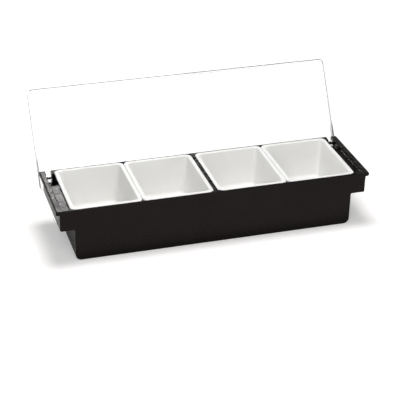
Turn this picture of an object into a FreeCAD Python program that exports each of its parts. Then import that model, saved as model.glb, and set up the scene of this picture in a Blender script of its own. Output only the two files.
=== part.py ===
# Bar condiment holder: a black tub that carries four lift-out inserts over a space for ice,
# with a clear lid hinged on two pins at the rear corners.
# Millimetres, X along the length, Y to the rear, Z up. The origin is the middle of the underside.
# The lid stands open and leans back, as it does in use.
import FreeCAD
import Part
import math
import os

Vector = FreeCAD.Vector

# Tub: outside
length = 498.0  # over the end lips
depth = 145.0  # front to rear at the rim
height = 89.0  # underside to rim
side_draft = 3.8  # degrees, front and rear walls
lip_overhang = 5.5  # end lip beyond the end wall
lip_height = 7.0
grip_overhang = 22.5  # upper end beyond the lower tub
end_drop = 35.0  # from the rim down to the lower edge of the upper end
base_radius = 9.0  # lower corners of the front view
grip_radius = 2.0  # corners at the grip in the front view
lip_radius = 2.5  # edge of the lip
lip_root_radius = 1.0  # where the lip meets the end wall
face_round = 0.9  # edges of the front and rear faces

# Tub: walls
wall = 3.0  # floor, ends and decks
rim_width = 5.5  # front and rear walls at the rim
deck_drop = 4.5  # from the rim down to the deck at each end
deck_flare = 5.0  # inner end wall leans out by this up to the deck
deck_radius = 2.5  # deck at its inner edge and at the end wall
flare_radius = 12.0  # where the inner end wall starts to lean
cavity_round = 2.5  # inner edges along the front and rear walls
rim_inner_round = 0.7
pocket_round = 1.0  # finger pocket under the deck
cross_bar_height = 20.0  # bar from front to rear between the two pairs of inserts

# Vent holes in a row along each end skirt
vent_bore = 3.5
vent_pitch = 24.5
vent_count = 5
vent_rise = 3.0  # from the skirt's lower edge to the middle of the hole

# Hinge at each rear corner of the tub
pivot_drop = 9.0  # from the rim down to the pin's axis
pivot_setback = 7.0  # from the rear face at the rim to the pin's axis
pin_diameter = 4.0
pin_seat_clearance = 0.02  # radial, pin in the tub
pin_end_clearance = 0.3  # beyond the pin in its blind bore
slot_width = 8.7
hinge_pocket_drop = 20.0  # from the rim down to the floor of the pocket and the foot of the slot
hinge_pocket_length = 42.0  # from the rear wall forward
cheek_thickness = 4.0  # between the slot and the inserts
cheek_pad = 1.3  # between the slot and the end wall
cheek_reach = 6.0  # from the pin's axis to the front of the cheek
cheek_slope_drop = 13.0  # from the pin's axis down to the cheek's foot
cheek_round = 2.0

# Inserts
insert_count = 4
middle_gap = 6.4  # between the two pairs of rims
rim_gap = 0.4  # between the rims of a pair
end_channel = 14.5  # from the outermost rim to the end wall
rim_setback = 1.8  # from the tub's faces to the rims
recess_clearance = 0.3  # around the rims, which lie level with the tub's rim
rim_thickness = 2.5
rim_radius = 9.5
rim_edge_round = 1.1
insert_clearance = 1.0  # body to the tub's front and rear walls at the rim
insert_end_clearance = 1.5  # body to the edge of the deck
insert_depth = 63.0  # body below the tub's rim
insert_draft = 8.0  # degrees
insert_wall = 2.0
insert_corner = 9.0  # upright corners of the body, outside
insert_foot_round = 8.0  # around the bottom, outside

# Lid, shaped as it lies closed and then swung open
lid_open_angle = 120.0
lid_thickness = 3.0
lid_headroom = 7.5  # from the tub's rim to the lid's inner face
lid_inset = 0.5  # lid's end behind the end lip
lid_seat_clearance = 0.3  # end skirt over the lip
lid_front_clearance = 0.8  # front skirt before the tub
lid_front_drop = 6.0  # front skirt below the rim
lid_stop_clearance = 0.3  # rear edge to the tub's rear face when open
lid_corner = 8.0
lid_edge_round = 1.2
skirt_sweep_clearance = 1.2  # end skirt past the lip's rear corner as the lid swings
lift_tab_length = 70.0
lift_tab_reach = 6.0
lift_tab_thickness = 3.0
lift_tab_radius = 5.0
arm_depth = 8.0
arm_side_clearance = 0.5
eye_wall = 2.5
eye_clearance = 0.08  # radial, lid on the pin
pad_length = 33.0  # stiffening pad where the arm meets the lid
pad_depth = 16.0
pad_thickness = 2.0

# Places worked out from the sizes
half_depth = depth / 2
lip_end = length / 2
end_face = lip_end - lip_overhang
end_inside = end_face - wall
tub_end = end_face - grip_overhang
tub_inside = tub_end - wall
grip_height = height - end_drop
deck = height - deck_drop
deck_inside = tub_inside + deck_flare
pocket_floor = height - hinge_pocket_drop
draft_slope = math.tan(math.radians(side_draft))
inner_rim = half_depth - rim_width
inner_floor = half_depth - (height - wall) * draft_slope - wall
pivot_y = half_depth - pivot_setback
pivot_height = height - pivot_drop
slot_outer = end_inside - cheek_pad
slot_inner = slot_outer - slot_width
cheek_inner = slot_inner - cheek_thickness
pin_radius = pin_diameter / 2
rim_half_depth = half_depth - rim_setback
rim_seat = height - rim_thickness
row_end = end_inside - end_channel
all_gaps = middle_gap + (insert_count - 2) * rim_gap
insert_length = (2 * row_end - all_gaps) / insert_count
rim_flange = row_end - deck_inside + insert_end_clearance  # rim beyond the body, along the length
lid_inner = height + lid_headroom
lid_top = lid_inner + lid_thickness
lid_end = lip_end - lid_inset
lid_front = -half_depth - lid_front_clearance - lid_thickness

# The open lid stops with its rear edge at the tub's rear face, which sets how far that edge reaches
lean = math.radians(lid_open_angle - side_draft)
draft_angle = math.radians(side_draft)
pivot_inside = pivot_setback * math.cos(draft_angle) - pivot_drop * math.sin(draft_angle)
inner_face_out = (lid_inner - pivot_height) * math.sin(lean) - pivot_inside
lid_rear_reach = (lid_stop_clearance - inner_face_out) / math.cos(lean)
lid_rear = pivot_y + lid_rear_reach
above = height  # how far cutting shapes stand past the rim
same = 0.01  # heights closer than this are the same level


def box(x_low, x_high, y_low, y_high, z_low, z_high):
    size = (x_high - x_low, y_high - y_low, z_high - z_low)
    return Part.makeBox(*size, Vector(x_low, y_low, z_low))


def rounded_outline(corners):
    """A closed wire through (point, radius) corners, each rounded by an arc of its radius."""
    edges = []
    joins = []
    for i, (point, radius) in enumerate(corners):
        before = (corners[i - 1][0] - point).normalize()
        after = (corners[(i + 1) % len(corners)][0] - point).normalize()
        if radius == 0:
            joins.append((point, point))
            continue
        half_angle = before.getAngle(after) / 2
        start = point + before * (radius / math.tan(half_angle))
        end = point + after * (radius / math.tan(half_angle))
        middle_way = (before + after).normalize()
        middle = point + middle_way * (radius / math.sin(half_angle) - radius)
        edges.append(Part.Arc(start, middle, end).toShape())
        joins.append((start, end))
    for i, (start, end) in enumerate(joins):
        edges.append(Part.makeLine(end, joins[(i + 1) % len(joins)][0]))
    return Part.Wire(Part.__sortEdges__(edges))


def prism(corners, direction):
    return Part.Face(rounded_outline(corners)).extrude(direction)


def rectangle(half_x, y_low, y_high, z, radius):
    """The corners of a level rectangle with one radius."""
    places = ((-half_x, y_low), (half_x, y_low), (half_x, y_high), (-half_x, y_high))
    return [(Vector(x, y, z), radius) for x, y in places]


def mirrored(right_half):
    """A closed front-view outline from its right half, given as (x, z, radius) from the bottom up."""
    left_half = [(-x, z, radius) for x, z, radius in reversed(right_half)]
    return [(Vector(x, -depth, z), radius) for x, z, radius in right_half + left_half]


def side_view(places, x_low, x_high):
    """A prism along the length from its side view, given as (y, z, radius)."""
    corners = [(Vector(x_low, y, z), radius) for y, z, radius in places]
    return prism(corners, Vector(x_high - x_low, 0, 0))


def edges_of_slopes(shape):
    """The edges that bound the front and rear faces of a drafted block."""
    slopes = [face for face in shape.Faces if abs(face.normalAt(0, 0).y) > 0.9]
    return [edge for face in slopes for edge in face.Edges]


def tub_outside():
    front_view = mirrored(
        [
            (tub_end, 0, base_radius),
            (tub_end, grip_height, grip_radius),
            (end_face, grip_height, grip_radius),
            (end_face, height - lip_height, lip_root_radius),
            (lip_end, height - lip_height, lip_radius),
            (lip_end, height, lip_radius),
        ]
    )
    block = prism(front_view, Vector(0, 2 * depth, 0))
    foot = half_depth - height * draft_slope
    taper = [(-foot, 0, 0), (foot, 0, 0), (half_depth, height, 0), (-half_depth, height, 0)]
    block = block.common(side_view(taper, -length, length))
    return block.makeFillet(face_round, edges_of_slopes(block))


def tub_cavity():
    top = height + above
    front_view = mirrored(
        [
            (tub_inside, wall, base_radius - wall),
            (tub_inside, grip_height, flare_radius),
            (deck_inside, deck, deck_radius),
            (end_inside, deck, deck_radius),
            (end_inside, top, 0),
        ]
    )
    block = prism(front_view, Vector(0, 2 * depth, 0))
    slope = (inner_rim - inner_floor) / (height - wall)
    wide = inner_rim + above * slope
    taper = [(-inner_floor, wall, 0), (inner_floor, wall, 0), (wide, top, 0), (-wide, top, 0)]
    block = block.common(side_view(taper, -length, length))
    below_top = [edge for edge in edges_of_slopes(block) if edge.BoundBox.ZMin < top - wall]
    return block.makeFillet(cavity_round, below_top)


def hinge_cheeks(side):
    """The two cheeks that carry one pin, from the rear wall forward."""
    into_wall = inner_rim + rim_width / 2
    front = pivot_y - cheek_reach
    foot = pivot_height - cheek_slope_drop
    outline = [
        (into_wall, foot, 0),
        (inner_rim, foot, 0),
        (front, pivot_height - pin_diameter, cheek_round),
        (front, height, cheek_round),
        (into_wall, height, 0),
    ]
    inner = side_view(outline, side * (deck_inside + wall / 2), side * slot_inner)
    outer = side_view(outline, side * slot_outer, side * (end_inside + wall / 2))
    return [inner, outer]


def hinge_cuts(side):
    """The slot through the rear wall and the bore for one pin."""
    ends = sorted((side * slot_inner, side * slot_outer))
    slot = box(*ends, pivot_y, half_depth + wall, pocket_floor, height + above)
    start = Vector(side * (cheek_inner - pin_end_clearance), pivot_y, pivot_height)
    reach = end_face + 2 * wall - cheek_inner
    bore = Part.makeCylinder(pin_radius + pin_seat_clearance, reach, start, Vector(side, 0, 0))
    return [slot, bore]


def hinge_pocket(side):
    """The well in the deck at one rear corner, where the lid's arm swings."""
    ends = sorted((side * (deck_inside + wall), side * end_inside))
    return box(*ends, inner_rim - hinge_pocket_length, inner_rim, pocket_floor, height)


def finger_pocket(side):
    """The space behind one end skirt, open below and lower under the hinge pocket."""
    top = deck - wall
    low = grip_height - wall - grip_radius
    half = half_depth - end_drop * draft_slope - wall
    places = (
        (tub_end, low, 0),
        (end_inside, low, 0),
        (end_inside, top, pocket_round),
        (deck_inside + wall, top, pocket_round),
        (tub_end, grip_height, flare_radius),
    )
    corners = [(Vector(side * x, -half, z), radius) for x, z, radius in places]
    under_hinge = inner_rim - hinge_pocket_length - wall
    kept = box(-length, length, under_hinge, depth, pocket_floor - wall, height)
    return prism(corners, Vector(0, 2 * half, 0)).cut(kept)


def rim_recess(side):
    """The step in the front and rear walls that one pair of inserts hangs in."""
    inner = middle_gap / 2 - recess_clearance
    outer = row_end + recess_clearance
    reach = rim_half_depth + recess_clearance
    corners = rectangle((outer - inner) / 2, -reach, reach, rim_seat, rim_radius + recess_clearance)
    recess = prism(corners, Vector(0, 0, rim_thickness + above))
    return recess.translated(Vector(side * (inner + outer) / 2, 0, 0))


def cross_bar():
    half = middle_gap / 2 - recess_clearance
    into_wall = inner_rim + rim_width / 2
    return box(-half, half, -into_wall, into_wall, height - cross_bar_height, height)


def vent_holes(side):
    height_on_wall = grip_height + vent_rise
    holes = []
    for i in range(vent_count):
        y = (i - (vent_count - 1) / 2) * vent_pitch
        start = Vector(side * (end_inside - wall), y, height_on_wall)
        holes.append(Part.makeCylinder(vent_bore / 2, 3 * wall, start, Vector(side, 0, 0)))
    return holes


def base_tub():
    tub = tub_outside().cut(tub_cavity())
    rim = next(face for face in tub.Faces if face.BoundBox.ZMin > height - same)
    mouth = min(rim.Wires, key=lambda wire: wire.BoundBox.DiagonalLength)
    tub = tub.makeFillet(rim_inner_round, mouth.Edges).fuse(cross_bar())
    for side in (-1, 1):
        cuts = hinge_cuts(side) + vent_holes(side) + [finger_pocket(side), rim_recess(side)]
        tub = tub.cut(hinge_pocket(side)).fuse(hinge_cheeks(side)).cut(cuts)
    return tub.removeSplitter()


def hinge_pin(side):
    start = Vector(side * cheek_inner, pivot_y, pivot_height)
    return Part.makeCylinder(pin_radius, end_face - cheek_inner, start, Vector(side, 0, 0))


def tapered_body(half_length, half_depth_top, top, bottom, corner, foot_round):
    """A solid that narrows downwards from a rounded rectangle, with its foot rounded."""
    narrowing = (top - bottom) * math.tan(math.radians(insert_draft))
    low = half_length - narrowing
    low_depth = half_depth_top - narrowing
    upper = rounded_outline(rectangle(half_length, -half_depth_top, half_depth_top, top, corner))
    lower = rounded_outline(rectangle(low, -low_depth, low_depth, bottom, corner))
    body = Part.makeLoft([lower, upper], True, True)
    foot = [edge for edge in body.Edges if edge.BoundBox.ZMax < bottom + same]
    return body.makeFillet(foot_round, foot)


def insert():
    """One insert, centred on the middle of the tub."""
    floor = height - insert_depth
    body_half = insert_length / 2 - rim_flange
    body_depth = inner_rim - insert_clearance
    outside = tapered_body(body_half, body_depth, rim_seat, floor, insert_corner, insert_foot_round)
    slope = math.tan(math.radians(insert_draft))
    mouth_half = body_half - insert_wall + rim_thickness * slope
    mouth_depth = body_depth - insert_wall + rim_thickness * slope
    inside = tapered_body(
        mouth_half,
        mouth_depth,
        height,
        floor + insert_wall,
        insert_corner - insert_wall,
        insert_foot_round - insert_wall,
    )
    rim_corners = rectangle(insert_length / 2, -rim_half_depth, rim_half_depth, rim_seat, rim_radius)
    rim = prism(rim_corners, Vector(0, 0, rim_thickness))
    solid = outside.fuse(rim).cut(inside).removeSplitter()
    top_edges = [edge for edge in solid.Edges if edge.BoundBox.ZMin > height - same]
    return solid.makeFillet(rim_edge_round, top_edges)


def insert_places():
    """The middle of each insert along the length, from left to right."""
    places = []
    x = -row_end + insert_length / 2
    for i in range(insert_count):
        places.append(x)
        gap = middle_gap if i == insert_count // 2 - 1 else rim_gap
        x += insert_length + gap
    return places


def lid_outline(inset, z):
    front = lid_front + inset
    rear = lid_rear - inset
    return rectangle(lid_end - inset, front, rear, z, lid_corner - inset)


def lid_panel():
    panel = prism(lid_outline(0, lid_inner), Vector(0, 0, lid_thickness))
    top_edges = [edge for edge in panel.Edges if edge.BoundBox.ZMin > lid_top - same]
    return panel.makeFillet(lid_edge_round, top_edges)


def lid_skirts():
    """The front skirt before the tub and the end skirts that stop on the lips."""
    low = height - lid_front_drop
    drop = Vector(0, 0, lid_inner - low)
    ring = prism(lid_outline(0, low), drop).cut(prism(lid_outline(lid_thickness, low), drop))
    seat = height + lid_seat_clearance
    corner_swing = math.hypot(pivot_setback, pivot_drop) + skirt_sweep_clearance
    skirt_rear = pivot_y - math.sqrt(corner_swing**2 - (seat - pivot_height) ** 2)
    behind_front = lid_front + lid_thickness
    sides = box(-length, length, behind_front, skirt_rear, seat, lid_inner)
    front = box(-length, length, lid_front, behind_front, low, lid_inner)
    return [ring.common(sides), ring.common(front)]


def lift_tab():
    """The finger tab on the lower edge of the front skirt."""
    low = height - lid_front_drop
    half = lift_tab_length / 2
    front = lid_front - lift_tab_reach
    root = lid_front + lid_thickness / 2
    corners = [
        (Vector(-half, front, low), lift_tab_radius),
        (Vector(half, front, low), lift_tab_radius),
        (Vector(half, root, low), 0),
        (Vector(-half, root, low), 0),
    ]
    return prism(corners, Vector(0, 0, lift_tab_thickness))


def lid_arm(side):
    """One hinge arm with its eye and its stiffening pad."""
    outer = slot_outer - arm_side_clearance
    inner = slot_inner + arm_side_clearance
    across = sorted((side * inner, side * outer))
    eye_radius = pin_radius + eye_clearance + eye_wall
    start = Vector(side * inner, pivot_y, pivot_height)
    axis = Vector(side, 0, 0)
    eye = Part.makeCylinder(eye_radius, outer - inner, start, axis)
    bore = Part.makeCylinder(pin_radius + eye_clearance, outer - inner, start, axis)
    half = arm_depth / 2
    arm = box(*across, pivot_y - half, pivot_y + half, pivot_height, lid_inner)
    pad_across = sorted((side * outer, side * (outer - pad_length)))
    pad_half = pad_depth / 2
    pad_rows = (pivot_y - pad_half, pivot_y + pad_half)
    pad = box(*pad_across, *pad_rows, lid_inner - pad_thickness, lid_inner)
    return arm.fuse([eye, pad]).cut(bore)


def lid():
    pieces = lid_skirts() + [lift_tab(), lid_arm(-1), lid_arm(1)]
    closed = lid_panel().fuse(pieces).removeSplitter()
    closed.rotate(Vector(0, pivot_y, pivot_height), Vector(-1, 0, 0), lid_open_angle)
    return closed


def export(node, shape):
    solids = shape.Solids
    assert len(solids) == 1 and shape.isValid(), node
    solids[0].exportStep(f"parts/{node}.step")
    print(node, round(solids[0].Volume / 1000, 1), "cm3", solids[0].BoundBox)


os.makedirs("parts", exist_ok=True)
export("base_tub", base_tub())
export("lid", lid())
export("hinge_pin_left", hinge_pin(-1))
export("hinge_pin_right", hinge_pin(1))
for number, place in enumerate(insert_places(), 1):
    export(f"insert_{number}", insert().translated(Vector(place, 0, 0)))
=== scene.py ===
import bpy
import math
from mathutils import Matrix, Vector

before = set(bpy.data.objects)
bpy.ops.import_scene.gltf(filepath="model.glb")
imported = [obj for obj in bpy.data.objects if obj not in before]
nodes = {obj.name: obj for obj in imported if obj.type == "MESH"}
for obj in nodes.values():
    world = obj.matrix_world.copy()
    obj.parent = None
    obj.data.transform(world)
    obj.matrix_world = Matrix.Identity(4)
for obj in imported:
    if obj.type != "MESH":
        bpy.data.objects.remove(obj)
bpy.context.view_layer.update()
scene = bpy.context.scene

# Places on the object that the finishes follow
rim_level = 0.089
rim_seat = 0.0865
lip_end = 0.249
lip_low = 0.080
lip_high = 0.083
slot_inner = 0.2305
slot_outer = 0.2392
slot_fade = 0.0004
floor_level = 0.003
lid_end = 0.2485
hinge_y = 0.0655
hinge_z = 0.080

# Round marks on the tub's floor
ring_pitch_x = 0.042
ring_pitch_y = 0.046
ring_radius = 0.004

# Camera, as the photograph was taken
camera_turn = math.radians(-16.09)  # round from the front, to the left
camera_rise = math.radians(27.84)
camera_distance = 2.184
camera_lens = 122.99
camera_sensor = 36
camera_shift = (-0.00996, 0.05506)

# Colours
black_deep = (0.0026, 0.0016, 0.0014)
black_faded = (0.0040, 0.0027, 0.0024)
black_rubbed = (0.030, 0.028, 0.027)
black_speck = (0.05, 0.048, 0.045)
black_shine = (1.0, 0.91, 0.89, 1)
pin_deep = (0.004, 0.004, 0.004)
pin_faded = (0.008, 0.0078, 0.0075)
pin_polished = (0.025, 0.024, 0.023)
white_clean = (0.86, 0.856, 0.842)
white_aged = (0.84, 0.834, 0.817)
white_scuffed = (0.72, 0.71, 0.69)
white_scraped = (0.66, 0.65, 0.63)
lid_clean = (1.0, 1.0, 1.0)
lid_hazy = (0.985, 0.99, 0.99)
# painted shade for the lid's end edges near the hinge, standing in for the black tub's dark reflection
lid_painted_edge_shade = (0.22, 0.235, 0.24)
lid_passing = (0.97, 0.975, 0.975, 1)
floor_colour = (0.86, 0.845, 0.835, 1)
sky_colour = (1, 1, 1, 1)

# Roughness from the smooth to the dull places, and refraction
black_roughness = (0.22, 0.32)
pin_roughness = (0.34, 0.42)
white_roughness = (0.30, 0.42)
lid_roughness = (0.02, 0.07)
plastic_ior = 1.5
lid_ior = 1.49

# Most values of a noise lie in this span
noise_span = (0.3, 0.7)

# Floor, sky and lamps
floor_reach = 8
horizon_up = 0.16
ceiling_up = 0.38
ceiling_strength = 0.08
lamp_aim = (0, 0, 0.05)


def set_camera():
    flat = math.cos(camera_rise)
    back = Vector((math.sin(camera_turn) * flat, -math.cos(camera_turn) * flat, math.sin(camera_rise)))
    data = bpy.data.cameras.new("camera")
    data.lens = camera_lens
    data.sensor_width = camera_sensor
    data.shift_x, data.shift_y = camera_shift
    camera = bpy.data.objects.new("camera", data)
    camera.location = back * camera_distance
    camera.rotation_euler = back.to_track_quat("Z", "Y").to_euler()
    scene.collection.objects.link(camera)
    scene.camera = camera


# Node helpers
def feed(tree, value, socket):
    """Link a socket, or set a plain value."""
    if isinstance(value, bpy.types.NodeSocket):
        tree.links.new(value, socket)
    else:
        socket.default_value = value


def add(tree, kind, **inputs):
    """A new node with its inputs linked or set by name."""
    node = tree.nodes.new(kind)
    for name, value in inputs.items():
        feed(tree, value, node.inputs[name.replace("_", " ")])
    return node


def math_node(tree, operation, *values):
    """The sum, product or other result of values or sockets."""
    node = tree.nodes.new("ShaderNodeMath")
    node.operation = operation
    for value, socket in zip(values, node.inputs):
        feed(tree, value, socket)
    return node.outputs[0]


def plus(tree, first, second):
    return math_node(tree, "ADD", first, second)


def minus(tree, first, second):
    return math_node(tree, "SUBTRACT", first, second)


def times(tree, first, second):
    return math_node(tree, "MULTIPLY", first, second)


def larger(tree, first, second):
    return math_node(tree, "MAXIMUM", first, second)


def unsigned(tree, value):
    return math_node(tree, "ABSOLUTE", value)


def diagonal(tree, first, second):
    """The length across two sides at right angles."""
    squares = [times(tree, side, side) for side in (first, second)]
    return math_node(tree, "SQRT", plus(tree, *squares))


def ramp(tree, value, low, high, start=0.0, end=1.0):
    """A value carried smoothly from start at low to end at high, and held beyond."""
    node = tree.nodes.new("ShaderNodeMapRange")
    node.interpolation_type = "SMOOTHSTEP"
    feed(tree, value, node.inputs["Value"])
    for name, number in (("From Min", low), ("From Max", high), ("To Min", start), ("To Max", end)):
        node.inputs[name].default_value = number
    return node.outputs["Result"]


def noise(tree, place, scale=1.0, detail=2.0, roughness=0.5):
    node = add(tree, "ShaderNodeTexNoise", Vector=place, Scale=scale, Detail=detail, Roughness=roughness)
    return node.outputs["Fac"]


def stretched(tree, place, scale, turn=(0, 0, 0)):
    """The place with its axes scaled apart, so that a pattern runs in streaks."""
    node = add(tree, "ShaderNodeMapping", Vector=place, Scale=scale, Rotation=turn)
    return node.outputs["Vector"]


def hairlines(tree, place, width):
    """Fine lines, 1 on the line, where a drawn-out noise crosses its middle."""
    field = noise(tree, place, detail=1.0)
    away = unsigned(tree, minus(tree, field, 0.5))
    return ramp(tree, away, 0.0, width, 1.0, 0.0)


def blend(tree, factor, first, second):
    """Two colours mixed by a factor."""
    node = tree.nodes.new("ShaderNodeMix")
    node.data_type = "RGBA"
    feed(tree, factor, node.inputs["Factor"])
    for socket, colour in zip((node.inputs[6], node.inputs[7]), (first, second)):
        feed(tree, colour if isinstance(colour, bpy.types.NodeSocket) else (*colour, 1), socket)
    return node.outputs[2]


def bump(tree, height, distance, strength, under=None):
    node = add(tree, "ShaderNodeBump", Height=height, Distance=distance, Strength=strength)
    if under is not None:
        tree.links.new(under, node.inputs["Normal"])
    return node.outputs["Normal"]


def object_place(tree):
    """Object coordinates, whole and as x, y and z."""
    place = tree.nodes.new("ShaderNodeTexCoord").outputs["Object"]
    parts = add(tree, "ShaderNodeSeparateXYZ", Vector=place)
    return place, *parts.outputs


def new_material(name):
    material = bpy.data.materials.new(name)
    material.use_nodes = True
    tree = material.node_tree
    tree.nodes.clear()
    return material, tree


def output(tree, shader):
    end = tree.nodes.new("ShaderNodeOutputMaterial")
    tree.links.new(shader, end.inputs["Surface"])


# Finishes
def ejector_rings(tree, x, y, z):
    """Round marks left by the mould's ejector pins on the tub's floor, inside and below."""
    along = minus(tree, math_node(tree, "PINGPONG", x, ring_pitch_x), ring_pitch_x / 2)
    across = minus(tree, math_node(tree, "PINGPONG", y, ring_pitch_y), ring_pitch_y / 2)
    off_ring = unsigned(tree, minus(tree, diagonal(tree, along, across), ring_radius))
    ring = ramp(tree, off_ring, 0.0001, 0.0003, 1, 0)
    on_floor = ramp(tree, z, floor_level, floor_level + 0.0005, 1, 0)
    return times(tree, ring, on_floor)


def moulded_black():
    """The tub: satin black with a fine moulded grain, wiped smears, fine scratches and rubbed edges."""
    material, tree = new_material("moulded_black")
    place, x, y, z = object_place(tree)
    cloud = noise(tree, place, scale=16, detail=4)
    swell = noise(tree, place, scale=60, detail=3)
    smear = noise(tree, stretched(tree, place, (9, 70, 55)), detail=5, roughness=0.6)
    grain = noise(tree, place, scale=2200)
    speck = ramp(tree, noise(tree, place, scale=700, detail=1), 0.70, 0.76)
    lines = hairlines(tree, stretched(tree, place, (14, 90, 60), (0.3, 0.2, 0.5)), 0.0015)
    patch = ramp(tree, noise(tree, place, scale=45, detail=4, roughness=0.65), 0.46, 0.68)

    # Rubbed places: the rim, the ends of the lips and the foot
    rim = ramp(tree, z, rim_level - 0.0012, rim_level - 0.0002)
    lip = ramp(tree, unsigned(tree, x), lip_end - 0.0022, lip_end - 0.0004)
    lip = times(tree, lip, ramp(tree, z, lip_low, lip_high))
    foot = ramp(tree, z, 0.0004, 0.0030, 1, 0)
    rubbed = times(tree, larger(tree, larger(tree, rim, lip), foot), patch)
    scratched = times(tree, lines, ramp(tree, cloud, 0.45, 0.62))

    body = blend(tree, ramp(tree, cloud, *noise_span), black_deep, black_faded)
    body = blend(tree, times(tree, rubbed, 0.5), body, black_rubbed)
    body = blend(tree, times(tree, speck, 0.25), body, black_speck)
    gloss = ramp(tree, smear, *noise_span, *black_roughness)
    gloss = plus(tree, gloss, times(tree, rubbed, 0.10))
    gloss = plus(tree, gloss, times(tree, scratched, 0.03))
    rings = ejector_rings(tree, x, y, z)
    skin = bump(tree, swell, distance=0.0004, strength=0.02)
    skin = bump(tree, grain, distance=0.00005, strength=0.22, under=skin)
    skin = bump(tree, minus(tree, 1.0, rings), distance=0.00005, strength=0.3, under=skin)
    shader = add(
        tree, "ShaderNodeBsdfPrincipled",
        Base_Color=body, Roughness=gloss, IOR=plastic_ior, Normal=skin,
        Specular_IOR_Level=0.18, Specular_Tint=black_shine,
    )
    output(tree, shader.outputs[0])
    return material


def pin_black():
    """The pins: smooth black, polished in rings where the lid turns on them."""
    material, tree = new_material("pin_black")
    place, x, _, _ = object_place(tree)
    end = unsigned(tree, x)
    past_inner = ramp(tree, end, slot_inner, slot_inner + slot_fade)
    before_outer = ramp(tree, end, slot_outer - slot_fade, slot_outer, 1, 0)
    turned = times(tree, past_inner, before_outer)
    rings = noise(tree, stretched(tree, place, (3000, 20, 20)), detail=3)
    cloud = noise(tree, place, scale=300, detail=3)
    grain = noise(tree, place, scale=2600)
    polish = times(tree, turned, ramp(tree, rings, *noise_span))

    body = blend(tree, ramp(tree, cloud, *noise_span), pin_deep, pin_faded)
    body = blend(tree, times(tree, polish, 0.4), body, pin_polished)
    gloss = ramp(tree, cloud, *noise_span, *pin_roughness)
    gloss = minus(tree, gloss, times(tree, polish, 0.16))
    skin = bump(tree, times(tree, rings, turned), distance=0.00004, strength=0.3)
    skin = bump(tree, grain, distance=0.00005, strength=0.25, under=skin)
    shader = add(
        tree, "ShaderNodeBsdfPrincipled",
        Base_Color=body, Roughness=gloss, IOR=plastic_ior, Normal=skin, Specular_IOR_Level=0.3,
    )
    output(tree, shader.outputs[0])
    return material


def white_plastic():
    """The inserts: warm white with a faint moulded ripple, finely scraped and scuffed on the rim."""
    material, tree = new_material("white_insert")
    place, _, _, z = object_place(tree)
    cloud = noise(tree, place, scale=22, detail=4)
    wipe = noise(tree, place, scale=80, detail=4)
    ripple = noise(tree, place, scale=140)
    grain = noise(tree, place, scale=1900)
    upright = hairlines(tree, stretched(tree, place, (60, 60, 10), (0.1, 0.15, 0.0)), 0.006)
    cross = hairlines(tree, stretched(tree, place, (18, 110, 110), (0.2, 0.0, 0.6)), 0.005)
    scraped = times(tree, larger(tree, upright, cross), ramp(tree, cloud, 0.42, 0.62))
    rim = ramp(tree, z, rim_seat, rim_level - 0.0004)
    spots = ramp(tree, noise(tree, place, scale=260, detail=4, roughness=0.7), 0.52, 0.70)
    scuff = times(tree, rim, spots)

    body = blend(tree, ramp(tree, cloud, *noise_span), white_clean, white_aged)
    body = blend(tree, times(tree, scuff, 0.15), body, white_scuffed)
    body = blend(tree, times(tree, scraped, 0.03), body, white_scraped)
    gloss = ramp(tree, wipe, *noise_span, *white_roughness)
    gloss = plus(tree, gloss, times(tree, scuff, 0.14))
    gloss = plus(tree, gloss, times(tree, scraped, 0.06))
    skin = bump(tree, ripple, distance=0.0002, strength=0.06)
    skin = bump(tree, grain, distance=0.00005, strength=0.15, under=skin)
    skin = bump(tree, minus(tree, 1.0, scraped), distance=0.00003, strength=0.1, under=skin)
    shader = add(
        tree, "ShaderNodeBsdfPrincipled",
        Base_Color=body, Roughness=gloss, IOR=plastic_ior, Normal=skin, Specular_IOR_Level=0.2,
        Subsurface_Weight=0.1, Subsurface_Radius=(1.0, 0.9, 0.75), Subsurface_Scale=0.002,
    )
    output(tree, shader.outputs[0])
    return material


def clear_plastic():
    """The lid: clear, with wiped haze and fine scratches. Lamps and bounced light pass straight through."""
    material, tree = new_material("clear_lid")
    place, x, y, z = object_place(tree)
    haze = noise(tree, stretched(tree, place, (8, 40, 40), (0.0, 0.0, 0.3)), detail=5, roughness=0.6)
    wave = noise(tree, place, scale=30)
    along = hairlines(tree, stretched(tree, place, (25, 130, 130), (0.2, 0.1, 0.4)), 0.0015)
    across = hairlines(tree, stretched(tree, place, (120, 30, 30), (0.1, 0.4, 0.9)), 0.0015)
    lines = larger(tree, along, across)
    gloss = ramp(tree, haze, 0.4, 0.8, *lid_roughness)
    gloss = plus(tree, gloss, times(tree, lines, 0.04))
    tint = blend(tree, ramp(tree, haze, 0.3, 0.8), lid_clean, lid_hazy)

    # The end edges are painted darker towards the hinge: painted shade standing in for the black tub's dark
    # reflection in the clear edges
    from_hinge = diagonal(tree, minus(tree, y, hinge_y), minus(tree, z, hinge_z))
    end = ramp(tree, unsigned(tree, x), lid_end - 0.0022, lid_end - 0.0014)
    # painted shade mask: end edges within a set distance of the hinge
    painted_edge_shade = times(tree, end, ramp(tree, from_hinge, 0.026, 0.045, 1, 0))
    tint = blend(tree, painted_edge_shade, tint, lid_painted_edge_shade)

    skin = bump(tree, wave, distance=0.0003, strength=0.03)
    skin = bump(tree, minus(tree, 1.0, lines), distance=0.00002, strength=0.1, under=skin)
    body = add(
        tree, "ShaderNodeBsdfPrincipled",
        Base_Color=tint, Roughness=gloss, IOR=lid_ior, Normal=skin, Transmission_Weight=1,
    )
    through = add(tree, "ShaderNodeBsdfTransparent", Color=lid_passing)
    path = tree.nodes.new("ShaderNodeLightPath")
    straight = larger(tree, path.outputs["Is Shadow Ray"], path.outputs["Is Diffuse Ray"])
    mix = tree.nodes.new("ShaderNodeMixShader")
    for source, socket in zip((straight, body.outputs[0], through.outputs[0]), mix.inputs):
        tree.links.new(source, socket)
    output(tree, mix.outputs[0])
    return material


def dress(node, material):
    data = nodes[node].data
    data.materials.clear()
    data.materials.append(material)


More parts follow.
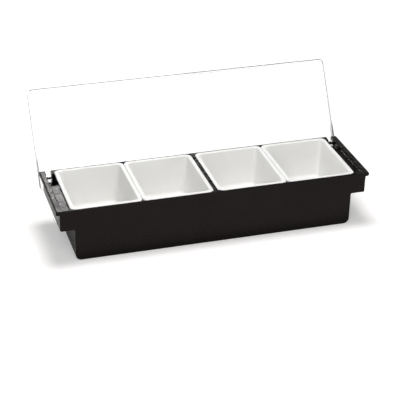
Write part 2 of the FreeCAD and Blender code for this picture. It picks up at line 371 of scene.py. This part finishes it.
# Studio
def pale_floor():
    """Pale and plain, lifted towards white where the camera sees it, straight or through the lid."""
    material, tree = new_material("pale_floor")
    surface = add(tree, "ShaderNodeBsdfDiffuse", Color=floor_colour)
    path = tree.nodes.new("ShaderNodeLightPath")
    seen = larger(tree, path.outputs["Is Camera Ray"], path.outputs["Is Transmission Ray"])
    _, x, y, _ = object_place(tree)
    away = diagonal(tree, x, y)
    near = ramp(tree, away, 0.4, 1.0, 0.32, 0.7)
    far = ramp(tree, away, 1.0, 3.0, 0.0, 0.3)
    lift = add(tree, "ShaderNodeEmission", Strength=times(tree, seen, plus(tree, near, far)))
    both = tree.nodes.new("ShaderNodeAddShader")
    for source, socket in zip((surface, lift), both.inputs):
        tree.links.new(source.outputs[0], socket)
    output(tree, both.outputs[0])
    return material


def make_floor():
    mesh = bpy.data.meshes.new("floor")
    signs = ((-1, -1), (1, -1), (1, 1), (-1, 1))
    corners = [(x * floor_reach, y * floor_reach, 0) for x, y in signs]
    mesh.from_pydata(corners, [], [(0, 1, 2, 3)])
    mesh.materials.append(pale_floor())
    floor = bpy.data.objects.new("floor", mesh)
    scene.collection.objects.link(floor)


def set_world():
    """White round the horizon, falling to a dim ceiling."""
    world = bpy.data.worlds.new("studio")
    scene.world = world
    world.use_nodes = True
    tree = world.node_tree
    tree.nodes.clear()
    way = tree.nodes.new("ShaderNodeTexCoord").outputs["Generated"]
    up = add(tree, "ShaderNodeSeparateXYZ", Vector=way).outputs["Z"]
    strength = ramp(tree, up, horizon_up, ceiling_up, 1.0, ceiling_strength)
    sky = add(tree, "ShaderNodeBackground", Color=sky_colour, Strength=strength)
    end = tree.nodes.new("ShaderNodeOutputWorld")
    tree.links.new(sky.outputs[0], end.inputs["Surface"])


def softbox(name, place, size, power):
    """A rectangular lamp of so many watts, aimed at the object and hidden from the camera."""
    data = bpy.data.lights.new(name, "AREA")
    data.shape = "RECTANGLE"
    data.size, data.size_y = size
    data.energy = power
    lamp = bpy.data.objects.new(name, data)
    lamp.location = place
    lamp.rotation_euler = (Vector(lamp_aim) - Vector(place)).to_track_quat("-Z", "Y").to_euler()
    lamp.visible_camera = False
    scene.collection.objects.link(lamp)


set_camera()
set_world()
make_floor()
softbox("overhead", place=(0.04, 0.08, 1.5), size=(0.6, 0.5), power=15)
softbox("front fill", place=(-0.3, -1.2, 1.0), size=(1.4, 0.8), power=9.2)
softbox("rear card", place=(-0.05, 1.2, 0.74), size=(0.32, 0.35), power=2.1)

black = moulded_black()
pin = pin_black()
white = white_plastic()
clear = clear_plastic()
dress("base_tub", black)
dress("hinge_pin_left", pin)
dress("hinge_pin_right", pin)
for number in range(1, 5):
    dress(f"insert_{number}", white)
dress("lid", clear)

scene.view_settings.view_transform = "Standard"
